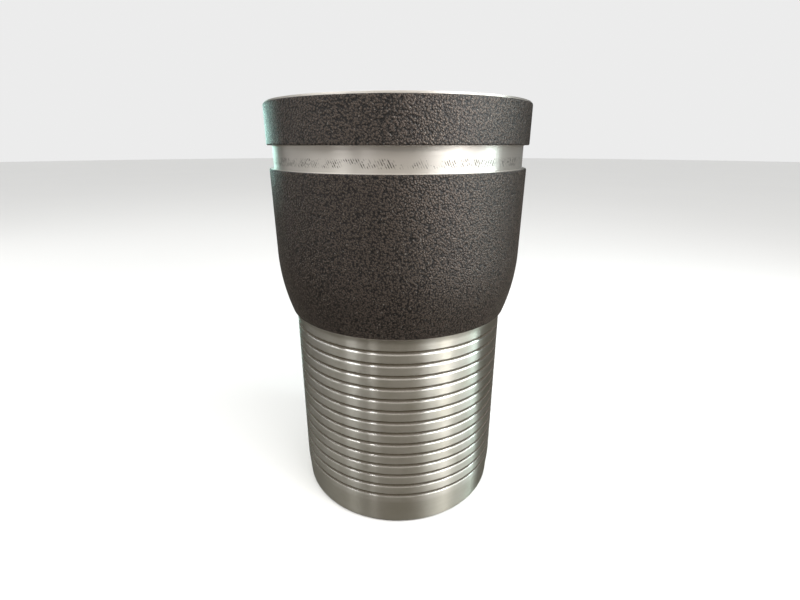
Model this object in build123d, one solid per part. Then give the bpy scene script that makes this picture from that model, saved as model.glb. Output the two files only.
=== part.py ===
from build123d import *
import os
from math import floor

# Combination nipple: a grooved pipe end on top and a ringed hose shank below, in one piece.
# Millimetres and degrees. +Z runs up the pipe axis, and the origin is the centre of the shank's free end.

# Lengths along the axis
overall_length = 185.0
nose_length = 16.6          # gasket seat, from the end face down to the coupling groove
groove_width = 9.3          # coupling groove
shank_length = 95.7         # from the lower edge of the cast body to the free end
bell_length = 27.3          # the part of the body that curves in to the shank

# Outside of the grooved end
nose_od = 114.3             # outside diameter of 4 inch pipe
groove_depth = 2.35
nose_edge_break = 0.4       # blunted lower edge of the nose
end_chamfer = 0.9           # outer edge of the end face

# Outside of the body
body_relief = 0.4           # how far the cast body lies inside the nose, on the radius
shoulder_height = 1.8       # step from the end of the bell down to the shank
shoulder_length = 3.3       # over which that step is turned, at a slope

# Hose shank
shank_od = 99.8             # slips into a 4 inch hose
lead_in_length = 13.0       # slightly tapered entry below the rings
lead_in_drop = 1.0          # how much smaller the radius is at the free end
free_edge_break = 0.8       # outer edge of the free end

# Rings cut round the shank, as many as its length holds
ring_pitch = 5.57
ring_start = 6.9            # from the upper end of the shank to the middle of the first ring
ring_margin = 2.5           # least distance from the middle of the last ring to the lead-in
ring_width = 2.3
ring_depth = 0.42

# Through passage
nose_wall = 6.0             # wall at the grooved end, measured at the nose
shank_wall = 5.6
inlet_length = 66.0         # straight bore at the grooved end
taper_length = 22.0         # narrowing between the two bores
bore_edge_break = 0.5       # chamfer at both mouths

# Radii that follow from the sizes above
nose_r = nose_od / 2
groove_r = nose_r - groove_depth
body_r = nose_r - body_relief
shank_r = shank_od / 2
shoulder_r = shank_r + shoulder_height
free_end_r = shank_r - lead_in_drop
inlet_r = nose_r - nose_wall
outlet_r = shank_r - shank_wall

# Heights that follow from the sizes above
groove_top = overall_length - nose_length
groove_bottom = groove_top - groove_width
shank_top = shank_length
bell_top = shank_top + bell_length
shoulder_bottom = shank_top - shoulder_length
taper_top = overall_length - inlet_length
taper_bottom = taper_top - taper_length
first_ring = shank_top - ring_start
ring_count = 1 + floor((first_ring - lead_in_length - ring_margin) / ring_pitch)
ring_heights = [first_ring - i * ring_pitch for i in range(ring_count)]


def ring_corners(z):
    """The corners of one ring's vee section, from top to bottom, with its middle at height z."""
    return [
        (shank_r, z + ring_width / 2),
        (shank_r - ring_depth, z),
        (shank_r, z - ring_width / 2),
    ]


def nearest_vertex(sketch, r, z):
    """The corner of the half section that lies at radius r and height z."""
    return sketch.vertices().sort_by_distance((r, z, 0))[0]


def half_section():
    """The wall of the fitting, cut along the axis, on the side of +X."""
    with BuildSketch(Plane.XZ) as section:
        with BuildLine():
            # Passage, from the free end up to the grooved end
            Polyline(
                (outlet_r + bore_edge_break, 0),
                (outlet_r, bore_edge_break),
                (outlet_r, taper_bottom),
                (inlet_r, taper_top),
                (inlet_r, overall_length - bore_edge_break),
                (inlet_r + bore_edge_break, overall_length),
            )
            # End face, nose, coupling groove and the straight wall of the body
            Polyline(
                (inlet_r + bore_edge_break, overall_length),
                (nose_r - end_chamfer, overall_length),
                (nose_r, overall_length - end_chamfer),
                (nose_r, groove_top),
                (groove_r, groove_top),
                (groove_r, groove_bottom),
                (body_r, groove_bottom),
                (body_r, bell_top),
            )
            # Bell, tangent to the straight wall
            TangentArc((body_r, bell_top), (shoulder_r, shank_top), tangent=(0, -1))
            # Turned shoulder, the shank with its rings, the lead-in and the free end
            Polyline(
                (shoulder_r, shank_top),
                (shank_r, shoulder_bottom),
                *[corner for z in ring_heights for corner in ring_corners(z)],
                (shank_r, lead_in_length),
                (free_end_r, 0),
                (outlet_r + bore_edge_break, 0),
            )
        make_face()
        # Broken edges
        chamfer(nearest_vertex(section, nose_r, groove_top), nose_edge_break)
        chamfer(nearest_vertex(section, free_end_r, 0), free_edge_break)
    return section.sketch


def nipple_body():
    """The whole fitting, turned from its half section."""
    return revolve(half_section(), axis=Axis.Z, revolution_arc=360)


os.makedirs("parts", exist_ok=True)
export_step(nipple_body(), "parts/nipple_body.step")
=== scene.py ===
from math import acos, cos, floor, pi, radians, sin, sqrt, tan

import bmesh
import bpy
from bpy.props import FloatProperty, FloatVectorProperty, IntProperty, PointerProperty
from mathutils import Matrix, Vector


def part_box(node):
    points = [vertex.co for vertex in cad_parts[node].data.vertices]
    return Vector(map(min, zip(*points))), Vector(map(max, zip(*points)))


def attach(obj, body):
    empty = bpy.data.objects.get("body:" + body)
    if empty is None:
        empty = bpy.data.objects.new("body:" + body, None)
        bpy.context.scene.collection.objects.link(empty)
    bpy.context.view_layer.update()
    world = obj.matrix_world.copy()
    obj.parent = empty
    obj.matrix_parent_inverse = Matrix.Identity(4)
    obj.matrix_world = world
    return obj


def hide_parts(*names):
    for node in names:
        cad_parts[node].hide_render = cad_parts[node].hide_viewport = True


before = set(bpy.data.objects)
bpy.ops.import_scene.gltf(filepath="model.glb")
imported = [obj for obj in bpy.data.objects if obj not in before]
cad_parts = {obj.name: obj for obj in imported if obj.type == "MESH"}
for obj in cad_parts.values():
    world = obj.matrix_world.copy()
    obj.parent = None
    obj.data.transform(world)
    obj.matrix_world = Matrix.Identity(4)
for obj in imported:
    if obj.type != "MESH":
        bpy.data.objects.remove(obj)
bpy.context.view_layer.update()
body_low, body_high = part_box("nipple_body")

bl_info = {
    "name": "Combination Nipple",
    "version": (1, 0, 0),
    "blender": (4, 5, 0),
    "location": "3D View > Sidebar > Nipple",
    "description": "Turns a grooved pipe end by ringed hose shank from its sizes, and sets its studio stage",
    "category": "Add Mesh",
}

MM = 0.001

# Material slots of the fitting, in their order
SKIN, CUT, PASSAGE = range(3)

# Pebbles of the cast skin and lines of the turned metal, to the metre
GRAIN_SCALE = 1350.0
LINE_PITCH = 4200.0


# Sizes and colours that a user would change


def length(name, description, value):
    """A length in metres, shown in the scene's unit."""
    return FloatProperty(
        name=name, description=description, default=value, min=0.0, unit="LENGTH", precision=5
    )


def turn(name, description, value):
    """An angle, kept in radians and shown in degrees."""
    return FloatProperty(name=name, description=description, default=radians(value), subtype="ANGLE")


def factor(name, description, value):
    """A number from 0 to 1."""
    return FloatProperty(
        name=name, description=description, default=value, min=0.0, max=1.0, subtype="FACTOR"
    )


def colour(name, description, value):
    """A linear colour without alpha."""
    return FloatVectorProperty(
        name=name, description=description, default=value, size=3, min=0.0, max=1.0, subtype="COLOR"
    )


class NippleSizes(bpy.types.PropertyGroup):
    overall_length: length(
        "Overall length", "From the free end of the shank to the grooved end", body_high.z - body_low.z
    )
    nose_diameter: length("Nose diameter", "Outside diameter of the pipe end", body_high.x - body_low.x)
    nose_length: length("Nose length", "Gasket seat, from the end face down to the groove", 16.6 * MM)
    groove_width: length("Groove width", "Width of the coupling groove", 9.3 * MM)
    groove_depth: length("Groove depth", "Depth of the coupling groove below the nose", 2.35 * MM)
    groove_round: length("Groove rounding", "Corner that the grooving tool leaves at the root", 0.45 * MM)
    nose_round: length("Nose rounding", "Worn edges of the cast nose and body", 0.55 * MM)
    end_chamfer: length("End chamfer", "Outer edge of the end face", 0.9 * MM)
    body_relief: length("Body relief", "How far the cast body lies inside the nose, on the radius", 0.4 * MM)
    body_draft: turn("Body draft", "Taper that the pattern gives the wall below the groove", 0.5)
    bell_length: length("Bell length", "Part of the body that curves in to the shank", 27.3 * MM)
    shoulder_height: length("Shoulder height", "Step from the end of the bell down to the shank", 1.8 * MM)
    root_radius: length("Root radius", "Concave cut where the shank meets the body", 4.0 * MM)
    shank_length: length("Shank length", "From the lower edge of the cast body to the free end", 95.7 * MM)
    shank_diameter: length("Shank diameter", "Outside diameter of the hose shank", 99.8 * MM)
    lead_in_length: length("Lead-in length", "Slightly tapered entry below the rings", 13.0 * MM)
    lead_in_drop: length("Lead-in drop", "How much smaller the radius is at the free end", 1.0 * MM)
    free_edge_break: length("Free edge", "Outer edge of the free end", 0.8 * MM)
    ring_pitch: length("Ring pitch", "Distance from one ring to the next", 5.57 * MM)
    ring_start: length("Ring start", "From the upper end of the shank to the first ring", 6.9 * MM)
    ring_margin: length("Ring margin", "Least distance from the last ring to the lead-in", 2.5 * MM)
    ring_width: length("Ring width", "Width of a ring at the surface of the shank", 2.3 * MM)
    ring_depth: length("Ring depth", "Depth of a ring", 0.42 * MM)
    fine_round: length("Fine rounding", "Least edge that turning leaves", 0.1 * MM)
    nose_wall: length("Nose wall", "Wall at the grooved end", 6.0 * MM)
    shank_wall: length("Shank wall", "Wall of the shank", 5.6 * MM)
    inlet_length: length("Inlet length", "Straight bore at the grooved end", 66.0 * MM)
    taper_length: length("Taper length", "Narrowing between the two bores", 22.0 * MM)
    bore_edge: length("Bore edge", "Chamfer at both mouths of the passage", 0.5 * MM)
    segments: IntProperty(name="Segments", description="Faces round the axis", default=288, min=24, max=512)


class NippleFinishes(bpy.types.PropertyGroup):
    skin_dark: colour("Skin, dark", "Hollows of the blasted cast skin", (0.003, 0.002, 0.0015))
    skin_light: colour("Skin, light", "Tops of the blasted cast skin", (0.12, 0.095, 0.078))
    skin_glint: colour("Skin, glints", "Sparks of the blasted cast skin", (0.32, 0.3, 0.27))
    steel_bright: colour("Turned metal, bright", "Freshly cut metal", (0.53, 0.52, 0.475))
    steel_dull: colour("Turned metal, dull", "Metal with a film of oil", (0.38, 0.37, 0.31))
    groove_bright: colour("Groove", "Rougher and paler cut of the groove and end face", (0.68, 0.645, 0.6))
    # Painted shade: a brown colour on the downward-facing walls of the rings
    ring_painted_shade: colour("Ring painted shade", "Brown painted shade on the downward-facing ring walls", (0.16, 0.12, 0.06))
    chatter_dark: colour("Chatter", "Dashes that the grooving tool leaves", (0.05, 0.04, 0.03))
    # Painted highlight: a pale colour on the upward-facing walls of the rings
    ring_painted_highlight: colour("Ring, painted highlight", "Painted highlight on the upward-facing ring walls", (0.88, 0.88, 0.86))
    skin_roughness: factor("Skin roughness", "Mean roughness of the cast skin", 0.26)
    steel_roughness: factor("Turned roughness", "Mean roughness of the turned metal", 0.36)
    floor_colour: colour("Floor", "Plain pale floor", (0.72, 0.72, 0.71))
    floor_mirrored: colour("Mirrored floor", "Dimmer floor that the metal mirrors", (0.09, 0.076, 0.062))
    backdrop_colour: colour("Backdrop", "Plain pale surroundings", (0.84, 0.84, 0.84))


# Half section of the fitting, drawn in the plane of X and Z


class Section:
    """A line of vertices that is carried on from its last point, with the corners that are rounded later."""

    def __init__(self, r, z):
        self.bm = bmesh.new()
        self.tip = bmesh.ops.create_vert(self.bm, co=(r, 0, z))["vert"][0]
        self.corners = []

    def line_to(self, r, z, offset=0.0, steps=2):
        """A straight run to radius r and height z. Its end is rounded over offset along both its runs."""
        self.tip = bmesh.ops.extrude_vert_indiv(self.bm, verts=[self.tip])["verts"][0]
        bmesh.ops.translate(self.bm, verts=[self.tip], vec=Vector((r, 0, z)) - self.tip.co)
        if offset:
            self.corners.append((self.tip, offset, steps))

    def arc(self, centre_r, centre_z, angle, steps):
        """An arc about a centre. A positive angle turns from outwards to downwards."""
        made = bmesh.ops.spin(
            self.bm,
            geom=[self.tip],
            cent=(centre_r, 0, centre_z),
            axis=(0, 1, 0),
            dvec=(0, 0, 0),
            angle=angle,
            steps=steps,
            use_merge=False,
            use_duplicate=False,
        )
        self.tip = made["geom_last"][0]

    def round_corners(self):
        """Rounds the marked corners."""
        for corner, offset, steps in self.corners:
            bmesh.ops.bevel(
                self.bm,
                geom=[corner],
                offset=offset,
                offset_type="OFFSET",
                segments=steps,
                profile=0.5,
                affect="VERTICES",
                clamp_overlap=True,
                material=-1,
            )
        self.corners = []


def half_section(size):
    """The wall of the fitting, cut along the axis."""
    nose_r = size.nose_diameter / 2
    groove_r = nose_r - size.groove_depth
    body_r = nose_r - size.body_relief
    shank_r = size.shank_diameter / 2
    shoulder_r = shank_r + size.shoulder_height
    free_end_r = shank_r - size.lead_in_drop
    inlet_r = nose_r - size.nose_wall
    outlet_r = shank_r - size.shank_wall
    top = size.overall_length
    groove_top = top - size.nose_length
    groove_bottom = groove_top - size.groove_width
    shank_top = size.shank_length
    bell_top = shank_top + size.bell_length
    bell_top_r = body_r - (groove_bottom - bell_top) * tan(size.body_draft)
    taper_top = top - size.inlet_length
    fine = size.fine_round

    # Passage, from the free end up to the grooved end
    section = Section(outlet_r + size.bore_edge, 0)
    section.line_to(outlet_r, size.bore_edge)
    section.line_to(outlet_r, taper_top - size.taper_length, 5 * size.nose_round, 6)
    section.line_to(inlet_r, taper_top, 5 * size.nose_round, 6)
    section.line_to(inlet_r, top - size.bore_edge)
    section.line_to(inlet_r + size.bore_edge, top)

    # End face, nose, coupling groove and the drafted wall of the body
    section.line_to(nose_r - size.end_chamfer, top, 4 * fine, 3)
    section.line_to(nose_r, top - size.end_chamfer, 4 * fine, 3)
    section.line_to(nose_r, groove_top, size.nose_round, 4)
    section.line_to(groove_r, groove_top, size.groove_round, 4)
    section.line_to(groove_r, groove_bottom, size.groove_round, 4)
    section.line_to(body_r, groove_bottom, size.nose_round, 4)
    section.line_to(bell_top_r, bell_top)

    # Bell, tangent to the drafted wall
    chord = Vector((shoulder_r - bell_top_r, shank_top - bell_top))
    inward = Vector((-cos(size.body_draft), sin(size.body_draft)))
    bell_radius = chord.length_squared / (2 * chord.dot(inward))
    centre = Vector((bell_top_r, bell_top)) + bell_radius * inward
    end = Vector((shoulder_r, shank_top)) - centre
    section.arc(centre.x, centre.y, acos(-end.dot(inward) / bell_radius), 36)

    # Concave cut, tangent to the shank
    root_drop = sqrt(size.root_radius**2 - (size.root_radius - size.shoulder_height) ** 2)
    root_turn = acos((size.root_radius - size.shoulder_height) / size.root_radius)
    section.arc(shank_r + size.root_radius, shank_top - root_drop, -root_turn, 16)

    # Rings of the shank, from the top down
    ring = shank_top - size.ring_start
    last = size.lead_in_length + size.ring_margin
    for _ in range(1 + floor((ring - last) / size.ring_pitch)):
        section.line_to(shank_r, ring + size.ring_width / 2, fine, 2)
        section.line_to(shank_r - size.ring_depth, ring, 0.3 * size.ring_width, 6)
        section.line_to(shank_r, ring - size.ring_width / 2, fine, 2)
        ring -= size.ring_pitch

    # Lead-in and the free end
    section.line_to(shank_r, size.lead_in_length, 10 * fine, 4)
    slope = size.lead_in_drop / size.lead_in_length
    section.line_to(free_end_r + slope * size.free_edge_break, size.free_edge_break, 4 * fine, 3)
    section.line_to(free_end_r - size.free_edge_break, 0, 2 * fine, 2)
    section.line_to(outlet_r + size.bore_edge, 0)
    section.round_corners()
    return section.bm


def revolved(bm, segments):
    """The solid of revolution of a section, with closed seam, outward faces and crisp turned edges."""
    bmesh.ops.remove_doubles(bm, verts=bm.verts, dist=1e-7)
    bmesh.ops.spin(
        bm,
        geom=bm.verts[:] + bm.edges[:],
        cent=(0, 0, 0),
        axis=(0, 0, 1),
        dvec=(0, 0, 0),
        angle=2 * pi,
        steps=segments,
        use_merge=True,
        use_duplicate=False,
    )
    bmesh.ops.remove_doubles(bm, verts=bm.verts, dist=1e-7)
    bmesh.ops.recalc_face_normals(bm, faces=bm.faces)
    for face in bm.faces:
        face.smooth = True
    for edge in bm.edges:
        edge.smooth = edge.calc_face_angle(0.0) < radians(4)


# Node helpers


class Nodes:
    """A node tree that is filled from left to right."""

    def __init__(self, tree):
        self.tree = tree

    def add(self, kind, **settings):
        """A node of a kind, with its settings."""
        node = self.tree.nodes.new(kind)
        for name, value in settings.items():
            setattr(node, name, value)
        return node

    def feed(self, node, **values):
        """Sets or links the inputs of a node, by name with _ for a blank."""
        for name, value in values.items():
            socket = node.inputs[name.replace("_", " ")]
            if isinstance(value, bpy.types.NodeSocket):
                self.tree.links.new(value, socket)
            else:
                socket.default_value = value
        return node

    def math(self, operation, a, b=0.0, c=0.0, clamp=False):
        """One step of arithmetic."""
        node = self.add("ShaderNodeMath", operation=operation, use_clamp=clamp)
        for socket, value in zip(node.inputs, (a, b, c)):
            if isinstance(value, bpy.types.NodeSocket):
                self.tree.links.new(value, socket)
            else:
                socket.default_value = value
        return node.outputs["Value"]

    def blend(self, share, a, b):
        """Colour a where share is 0 and colour b where it is 1."""
        node = self.add("ShaderNodeMix", data_type="RGBA")
        for socket, value in ((node.inputs[0], share), (node.inputs[6], a), (node.inputs[7], b)):
            if isinstance(value, bpy.types.NodeSocket):
                self.tree.links.new(value, socket)
            else:
                socket.default_value = value
        return node.outputs[2]

    def spread(self, value, low, high, new_low=0.0, new_high=1.0):
        """A value from one range brought to another, held at its ends."""
        node = self.add("ShaderNodeMapRange")
        self.feed(node, Value=value, From_Min=low, From_Max=high, To_Min=new_low, To_Max=new_high)
        return node.outputs["Result"]

    def noise(self, vector, scale, detail=3.0, roughness=0.55):
        """Soft random values."""
        node = self.add("ShaderNodeTexNoise")
        self.feed(node, Vector=vector, Scale=scale, Detail=detail, Roughness=roughness)
        return node.outputs["Fac"]

    def cells(self, vector, scale):
        """Distance to the nearest of scattered points."""
        node = self.add("ShaderNodeTexVoronoi")
        self.feed(node, Vector=vector, Scale=scale)
        return node.outputs["Distance"]


def new_group(name, inputs, outputs):
    """A shader node group with its sockets: inputs are (name, default), outputs are names."""
    group = bpy.data.node_groups.new(name, "ShaderNodeTree")
    for socket, default in inputs:
        kind = "NodeSocketVector" if default is None else "NodeSocketFloat"
        made = group.interface.new_socket(name=socket, in_out="INPUT", socket_type=kind)
        if default is not None:
            made.default_value = default
    for socket in outputs:
        group.interface.new_socket(name=socket, in_out="OUTPUT", socket_type="NodeSocketFloat")
    nodes = Nodes(group)
    return group, nodes, nodes.add("NodeGroupInput"), nodes.add("NodeGroupOutput")


def blasted_grain():
    """Pebbly grain of a shot-blasted casting: its height, its hollows and its sparks."""
    group, nodes, given, put = new_group(
        "blasted_grain", [("Vector", None), ("Scale", GRAIN_SCALE)], ["Height", "Hollows", "Sparks"]
    )
    place, scale = given.outputs["Vector"], given.outputs["Scale"]
    pebbles = nodes.cells(place, scale)
    grit = nodes.noise(place, nodes.math("MULTIPLY", scale, 2.3), 2.0, 0.6)
    swell = nodes.noise(place, nodes.math("MULTIPLY", scale, 0.16), 3.0, 0.6)
    lumps = nodes.noise(place, nodes.math("MULTIPLY", scale, 0.5), 2.0, 0.5)
    flecks = nodes.noise(place, nodes.math("MULTIPLY", scale, 1.2), 1.0, 0.5)
    # Pebbles and grit make the relief, with a little of the lumps and of the broad swell
    height = nodes.math("MULTIPLY_ADD", pebbles, -1.0, nodes.math("MULTIPLY", grit, 0.7))
    height = nodes.math("MULTIPLY_ADD", lumps, 0.25, height)
    height = nodes.math("MULTIPLY_ADD", swell, 0.15, height)
    # 0 in the hollows and 1 on the tops
    mixed = nodes.math("MULTIPLY_ADD", pebbles, -0.7, nodes.math("MULTIPLY_ADD", lumps, 0.15, grit))
    nodes.feed(
        put,
        Height=height,
        Hollows=nodes.spread(mixed, 0.1, 0.65),
        Sparks=nodes.spread(flecks, 0.7, 0.76),
    )
    return group


def turned_lines():
    """Fine lines that a cutting tool leaves round the axis: their height, their tone and the oil film."""
    group, nodes, given, put = new_group(
        "turned_lines", [("Vector", None), ("Pitch", LINE_PITCH)], ["Height", "Tone", "Film"]
    )
    place, pitch = given.outputs["Vector"], given.outputs["Pitch"]
    axes = nodes.feed(nodes.add("ShaderNodeSeparateXYZ"), Vector=place)
    # The pattern is drawn out round the axis, and its lines wander a little in height
    drawn_out = 0.004
    wander = nodes.noise(place, 60.0, 2.0)
    line = nodes.add("ShaderNodeCombineXYZ")
    nodes.feed(
        line,
        X=nodes.math("MULTIPLY", axes.outputs["X"], drawn_out),
        Y=nodes.math("MULTIPLY", axes.outputs["Y"], drawn_out),
        Z=nodes.math("MULTIPLY_ADD", wander, 0.06 * MM, axes.outputs["Z"]),
    )
    fine = nodes.noise(line.outputs["Vector"], pitch, 3.0, 0.7)
    broad = nodes.noise(line.outputs["Vector"], nodes.math("MULTIPLY", pitch, 0.22), 2.0, 0.5)
    mixed = nodes.math("MULTIPLY_ADD", fine, 0.6, nodes.math("MULTIPLY", broad, 0.4))
    smear = nodes.noise(place, 95.0, 3.0, 0.6)
    nodes.feed(
        put,
        Height=nodes.math("MULTIPLY_ADD", broad, 0.6, fine),
        Tone=nodes.spread(mixed, 0.3, 0.7),
        Film=nodes.spread(smear, 0.4, 0.68),
    )
    return group


def chatter_marks():
    """Slanting dashes that a chattering tool leaves in a band round the axis, in broken runs."""
    group, nodes, given, put = new_group(
        "chatter_marks", [("Vector", None), ("Band", 0.16), ("Width", 0.002)], ["Marks"]
    )
    dashes_in_a_turn, lean = 372.0, 6.5
    place, band, width = (given.outputs[name] for name in ("Vector", "Band", "Width"))
    axes = nodes.feed(nodes.add("ShaderNodeSeparateXYZ"), Vector=place)
    around = nodes.math("ARCTAN2", axes.outputs["X"], nodes.math("MULTIPLY", axes.outputs["Y"], -1.0))
    rise = nodes.math("DIVIDE", nodes.math("SUBTRACT", axes.outputs["Z"], band), width)
    slant = nodes.math("MULTIPLY_ADD", around, dashes_in_a_turn, nodes.math("MULTIPLY", rise, lean))
    dash = nodes.spread(nodes.math("SINE", slant), -0.2, 0.5)
    edge = nodes.spread(nodes.math("ABSOLUTE", rise), 1.0, 0.6)
    runs = nodes.spread(nodes.noise(place, 130.0, 2.0, 0.6), 0.42, 0.54)
    broken = nodes.spread(nodes.noise(place, 900.0, 1.0, 0.5), 0.4, 0.55)
    marks = nodes.math("MULTIPLY", nodes.math("MULTIPLY", dash, edge), nodes.math("MULTIPLY", runs, broken))
    nodes.feed(put, Marks=marks)
    return group


def new_material(name):
    """An empty material with its shader and its Object coordinates: (material, nodes, shader, place)."""
    material = bpy.data.materials.new(name)
    material.use_nodes = True
    material.node_tree.nodes.clear()
    nodes = Nodes(material.node_tree)
    shader = nodes.add("ShaderNodeBsdfPrincipled")
    out = nodes.add("ShaderNodeOutputMaterial")
    nodes.feed(out, Surface=shader.outputs["BSDF"])
    place = nodes.add("ShaderNodeTexCoord").outputs["Object"]
    return material, nodes, shader, place


def rgba(value):
    """A colour with full alpha."""
    return (*value, 1.0)


def cast_skin(name, finish, grain, strength):
    """Dark shot-blasted cast skin, with pebbles that catch the light."""
    material, nodes, shader, place = new_material(name)
    texture = nodes.feed(nodes.add("ShaderNodeGroup", node_tree=grain), Vector=place, Scale=GRAIN_SCALE)
    tops = texture.outputs["Hollows"]
    glint = nodes.math("MULTIPLY", texture.outputs["Sparks"], 0.4)
    base = nodes.blend(tops, rgba(finish.skin_dark), rgba(finish.skin_light))
    rough = finish.skin_roughness
    bump = nodes.feed(
        nodes.add("ShaderNodeBump"), Height=texture.outputs["Height"], Strength=strength, Distance=0.4 * MM
    )
    nodes.feed(
        shader,
        Base_Color=nodes.blend(glint, base, rgba(finish.skin_glint)),
        Roughness=nodes.spread(tops, 0.0, 1.0, rough + 0.15, rough - 0.05),
        Metallic=nodes.spread(tops, 0.0, 1.0, 0.3, 0.75),
        Normal=bump.outputs["Normal"],
    )
    return material


def turned_metal(name, size, finish, lines, chatter):
    """Bright turned metal with lines round the axis, dulled by a film, with painted shade and painted
    highlights on the ring walls.
    """
    material, nodes, shader, place = new_material(name)
    cut = nodes.feed(nodes.add("ShaderNodeGroup", node_tree=lines), Vector=place, Pitch=LINE_PITCH)
    axes = nodes.feed(nodes.add("ShaderNodeSeparateXYZ"), Vector=place)
    across = nodes.math("MULTIPLY", axes.outputs["X"], axes.outputs["X"])
    across = nodes.math("MULTIPLY_ADD", axes.outputs["Y"], axes.outputs["Y"], across)
    radius = nodes.math("SQRT", across)
    height = axes.outputs["Z"]
    normal = nodes.add("ShaderNodeNewGeometry").outputs["Normal"]
    facing = nodes.feed(nodes.add("ShaderNodeSeparateXYZ"), Vector=normal).outputs["Z"]

    # Masks of the hose end, the groove with the end face, the rings, and the lead-in
    shank_top, shank_r, lead_in = size.shank_length, size.shank_diameter / 2, size.lead_in_length
    hose_end = nodes.spread(height, shank_top + MM, shank_top + 2 * MM, 1.0, 0.0)
    pipe_end = nodes.math("SUBTRACT", 1.0, hose_end)
    sunk = nodes.spread(radius, shank_r - 0.03 * MM, shank_r - 0.15 * MM)
    ring = nodes.math("MULTIPLY", sunk, nodes.spread(height, lead_in, lead_in + MM))
    plain_end = nodes.spread(height, lead_in, lead_in - MM, 0.0, 0.5)
    # Painted shade: brown colour on the ring walls that face down, picked by the surface normal
    painted_roof_shade = nodes.math("MULTIPLY", nodes.spread(facing, -0.05, -0.3, 0.0, 0.65), ring)
    # Painted highlight: pale colour on the ring walls that face up, picked by the surface normal
    painted_step_highlight = nodes.math("MULTIPLY", nodes.spread(facing, 0.05, 0.3), ring)

    # The ragged lower edge of the cast skin, where the tool ran out
    ragged = nodes.math("MULTIPLY_ADD", nodes.noise(place, 700.0, 3.0, 0.65), 1.6 * MM, height)
    fringe = nodes.spread(ragged, shank_top + 0.35 * MM, shank_top + 0.6 * MM)
    fringe = nodes.math("MULTIPLY", fringe, hose_end)

    dashes = nodes.feed(
        nodes.add("ShaderNodeGroup", node_tree=chatter),
        Vector=place,
        Band=size.overall_length - size.nose_length - 0.64 * size.groove_width,
        Width=0.2 * size.groove_width,
    )

    # Each coat, painted shade or painted highlight: how much of it shows, and its colour
    base = rgba(finish.steel_bright)
    for share, tint in (
        (nodes.math("MULTIPLY", cut.outputs["Film"], 0.55), finish.steel_dull),
        (nodes.math("MULTIPLY", cut.outputs["Tone"], 0.5), finish.steel_dull),
        (nodes.math("MULTIPLY", pipe_end, 0.85), finish.groove_bright),
        (nodes.math("MULTIPLY", dashes.outputs["Marks"], 0.9), finish.chatter_dark),
        (plain_end, finish.steel_dull),
        (painted_roof_shade, finish.ring_painted_shade),
        (painted_step_highlight, finish.ring_painted_highlight),
        (fringe, finish.skin_light),
    ):
        base = nodes.blend(share, base, rgba(tint))

    rough = finish.steel_roughness
    rough = nodes.spread(cut.outputs["Tone"], 0.0, 1.0, rough - 0.05, rough + 0.08)
    rough = nodes.math("MULTIPLY", rough, nodes.spread(ring, 0.0, 1.0, 1.0, 0.55))
    rough = nodes.math("MULTIPLY", rough, nodes.spread(pipe_end, 0.0, 1.0, 1.0, 1.35))
    bare = nodes.spread(pipe_end, 0.0, 1.0, 1.0, 0.9)
    bump = nodes.feed(
        nodes.add("ShaderNodeBump"), Height=cut.outputs["Height"], Strength=0.6, Distance=0.03 * MM
    )
    nodes.feed(
        shader,
        Base_Color=base,
        Roughness=rough,
        Metallic=nodes.math("SUBTRACT", bare, fringe, clamp=True),
        Anisotropic=1.0,
        Anisotropic_Rotation=0.25,
        Normal=bump.outputs["Normal"],
    )
    return material


def link(obj):
    """Puts an object in the scene."""
    bpy.context.scene.collection.objects.link(obj)
    return obj


# Operators


class NIPPLE_OT_turn_fitting(bpy.types.Operator):
    """Turns the whole fitting from its half section, with its cast and its cut surfaces"""

    bl_idname = "nipple.turn_fitting"
    bl_label = "Turn the fitting"

    def execute(self, context):
        size = context.scene.nipple_sizes
        finish = context.scene.nipple_finishes
        bm = half_section(size)
        revolved(bm, size.segments)
        groove_top = size.overall_length - size.nose_length
        groove_bottom = groove_top - size.groove_width
        groove_mouth_r = size.nose_diameter / 2 - size.groove_depth / 2
        end_top = size.overall_length - 0.8 * size.end_chamfer
        mid_wall_r = size.nose_diameter / 2 - size.nose_wall / 2
        for face in bm.faces:
            middle = face.calc_center_median()
            r = middle.xy.length
            inward = face.normal.xy.dot(middle.xy) < -1e-9 and abs(face.normal.z) < 0.9
            in_groove = groove_bottom - 1e-6 <= middle.z <= groove_top + 1e-6 and r < groove_mouth_r
            if inward and r < mid_wall_r:
                face.material_index = PASSAGE
            elif in_groove or middle.z > end_top or middle.z < size.shank_length:
                face.material_index = CUT
            else:
                face.material_index = SKIN
        mesh = bpy.data.meshes.new("nipple_dressed")
        bm.to_mesh(mesh)
        bm.free()
        if not len(mesh.polygons):
            raise RuntimeError("the fitting has no faces")
        grain, lines, chatter = blasted_grain(), turned_lines(), chatter_marks()
        mesh.materials.append(cast_skin("blasted_cast_skin", finish, grain, 0.5))
        mesh.materials.append(turned_metal("turned_metal", size, finish, lines, chatter))
        mesh.materials.append(cast_skin("cast_passage", finish, grain, 0.9))
        fitting = link(bpy.data.objects.new("nipple_dressed", mesh))
        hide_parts("nipple_body")
        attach(fitting, "root")
        return {"FINISHED"}


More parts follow.
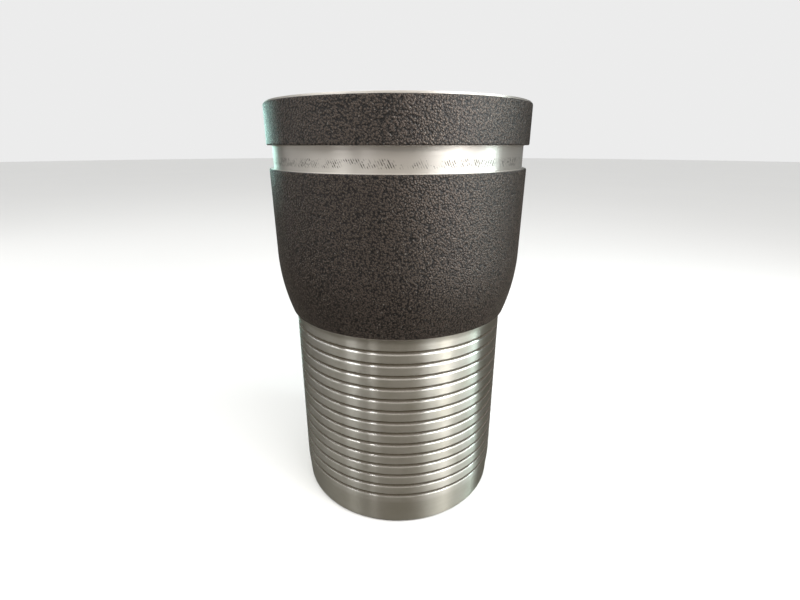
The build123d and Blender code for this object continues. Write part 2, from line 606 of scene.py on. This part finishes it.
class NIPPLE_OT_set_stage(bpy.types.Operator):
    """Lays the pale floor, hangs the soft lights and sets the camera"""

    bl_idname = "nipple.set_stage"
    bl_label = "Set the stage"

    def execute(self, context):
        finish = context.scene.nipple_finishes
        self.lay_floor(finish)
        self.light_room(context.scene, finish)
        self.place_camera(context.scene)
        return {"FINISHED"}

    def lay_floor(self, finish):
        """A wide plain disc, a hair below the fitting."""
        bm = bmesh.new()
        bmesh.ops.create_circle(bm, cap_ends=True, cap_tris=False, segments=96, radius=6.0)
        bmesh.ops.translate(bm, verts=bm.verts, vec=(0, 0, -0.2 * MM))
        mesh = bpy.data.meshes.new("studio_floor")
        bm.to_mesh(mesh)
        bm.free()
        material, nodes, shader, place = new_material("pale_floor")
        tone = nodes.noise(place, 3.0, 2.0)
        light = rgba(finish.floor_colour)
        dim = rgba([0.97 * part for part in finish.floor_colour])
        mirrored = nodes.add("ShaderNodeLightPath").outputs["Is Glossy Ray"]
        shade = nodes.blend(mirrored, nodes.blend(tone, dim, light), rgba(finish.floor_mirrored))
        nodes.feed(shader, Base_Color=shade, Roughness=0.8, Specular_IOR_Level=0.2)
        mesh.materials.append(material)
        link(bpy.data.objects.new("studio_floor", mesh))

    def light_room(self, scene, finish):
        """Soft panels round the fitting, and a pale room that is dimmer in the metal."""
        world = bpy.data.worlds.new("studio")
        world.use_nodes = True
        world.node_tree.nodes.clear()
        nodes = Nodes(world.node_tree)
        mirrored = nodes.add("ShaderNodeLightPath").outputs["Is Glossy Ray"]
        seen = nodes.add("ShaderNodeLightPath").outputs["Is Camera Ray"]
        level = nodes.spread(seen, 0.0, 1.0, 1.15, 1.0)
        pale = rgba(finish.backdrop_colour)
        plain = nodes.feed(nodes.add("ShaderNodeBackground"), Color=pale, Strength=level)
        place = nodes.add("ShaderNodeTexCoord").outputs["Generated"]
        axes = nodes.feed(nodes.add("ShaderNodeSeparateXYZ"), Vector=place)
        front_wall, back_wall, ceiling = (0.29, 0.24, 0.195), (0.03, 0.035, 0.035), (0.9, 0.9, 0.88)
        behind = nodes.spread(axes.outputs["Y"], -0.5, 0.15)
        walls = nodes.blend(behind, rgba(front_wall), rgba(back_wall))
        room = nodes.blend(nodes.spread(axes.outputs["Z"], 0.1, 0.9), walls, rgba(ceiling))
        studio = nodes.feed(nodes.add("ShaderNodeBackground"), Color=room, Strength=1.0)
        mixed = nodes.add("ShaderNodeMixShader")
        nodes.feed(mixed, Fac=mirrored)
        world.node_tree.links.new(plain.outputs["Background"], mixed.inputs[1])
        world.node_tree.links.new(studio.outputs["Background"], mixed.inputs[2])
        nodes.feed(nodes.add("ShaderNodeOutputWorld"), Surface=mixed.outputs["Shader"])
        scene.world = world
        # Name, turn from the camera's side, distance, height of the middle, width, height, power, spread
        # in degrees, and colour
        panels = (
            ("panel_right", 59, 0.52, 0.3, 0.68, 0.6, 4.2, 180, (0.98, 0.99, 1.0)),
            ("strip_right", 49, 0.48, 0.3, 0.1, 0.6, 0.9, 180, (1.0, 0.97, 0.95)),
            ("strip_far_right", 84, 0.48, 0.3, 0.06, 0.6, 0.8, 180, (0.72, 1.0, 1.0)),
            ("panel_front", 8, 0.7, 1.1, 0.9, 0.6, 3.4, 180, (1.0, 0.93, 0.86)),
            ("panel_left", -72, 0.75, 1.0, 0.9, 0.7, 5.0, 180, (0.99, 1.0, 1.0)),
            ("strip_left", -26, 0.9, 0.45, 0.03, 0.9, 0.6, 180, (1.0, 0.98, 1.0)),
            ("lamp_left", -47, 0.9, 0.2, 0.2, 0.12, 0.55, 180, (0.98, 0.98, 1.0)),
            ("band_left", -88, 0.9, 0.24, 0.85, 0.08, 0.8, 180, (1.0, 1.0, 1.0)),
            ("panel_behind", -148, 0.8, 0.2, 0.46, 0.1, 0.08, 50, (0.62, 1.0, 0.92)),
        )
        target = Vector((0, 0, 0.1))
        for name, turned, distance, height, width, tall, power, spread, tint in panels:
            light = bpy.data.lights.new(name, "AREA")
            light.shape = "RECTANGLE"
            light.size = width
            light.size_y = tall
            light.energy = power
            light.spread = radians(spread)
            light.color = tint
            lamp = link(bpy.data.objects.new(name, light))
            around = radians(turned)
            lamp.location = (distance * sin(around), -distance * cos(around), height)
            lamp.rotation_euler = (target - lamp.location).to_track_quat("-Z", "Y").to_euler()
            lamp.visible_camera = False

    def place_camera(self, scene):
        """The photograph's viewing angle, as its perspective gives it."""
        camera = bpy.data.cameras.new("studio_camera")
        camera.lens = 19.77
        camera.sensor_width = 36.0
        camera.clip_start = 0.01
        camera.clip_end = 50.0
        seat = link(bpy.data.objects.new("studio_camera", camera))
        seat.location = (0.0009, -0.21024, 0.16876)
        looks_down = 19.51
        seat.rotation_euler = (radians(90 - looks_down), 0, 0)
        scene.camera = seat
        scene.view_settings.view_transform = "Standard"


class NIPPLE_PT_sidebar(bpy.types.Panel):
    """The fitting's operators, sizes and finishes"""

    bl_idname = "NIPPLE_PT_sidebar"
    bl_label = "Combination nipple"
    bl_space_type = "VIEW_3D"
    bl_region_type = "UI"
    bl_category = "Nipple"

    def draw(self, context):
        layout, scene = self.layout, context.scene
        for operator in OPERATORS:
            layout.operator(operator.bl_idname)
        for title, group in (("Sizes", scene.nipple_sizes), ("Finishes", scene.nipple_finishes)):
            layout.label(text=title)
            for name in group.__annotations__:
                layout.prop(group, name)


OPERATORS = (NIPPLE_OT_turn_fitting, NIPPLE_OT_set_stage)
CLASSES = (NippleSizes, NippleFinishes, *OPERATORS, NIPPLE_PT_sidebar)


def register():
    for item in CLASSES:
        bpy.utils.register_class(item)
    bpy.types.Scene.nipple_sizes = PointerProperty(type=NippleSizes)
    bpy.types.Scene.nipple_finishes = PointerProperty(type=NippleFinishes)


def unregister():
    del bpy.types.Scene.nipple_finishes
    del bpy.types.Scene.nipple_sizes
    for item in reversed(CLASSES):
        bpy.utils.unregister_class(item)


def main():
    """Makes the fitting and its stage."""
    register()
    bpy.ops.nipple.turn_fitting()
    bpy.ops.nipple.set_stage()


if __name__ == "__main__":
    main()
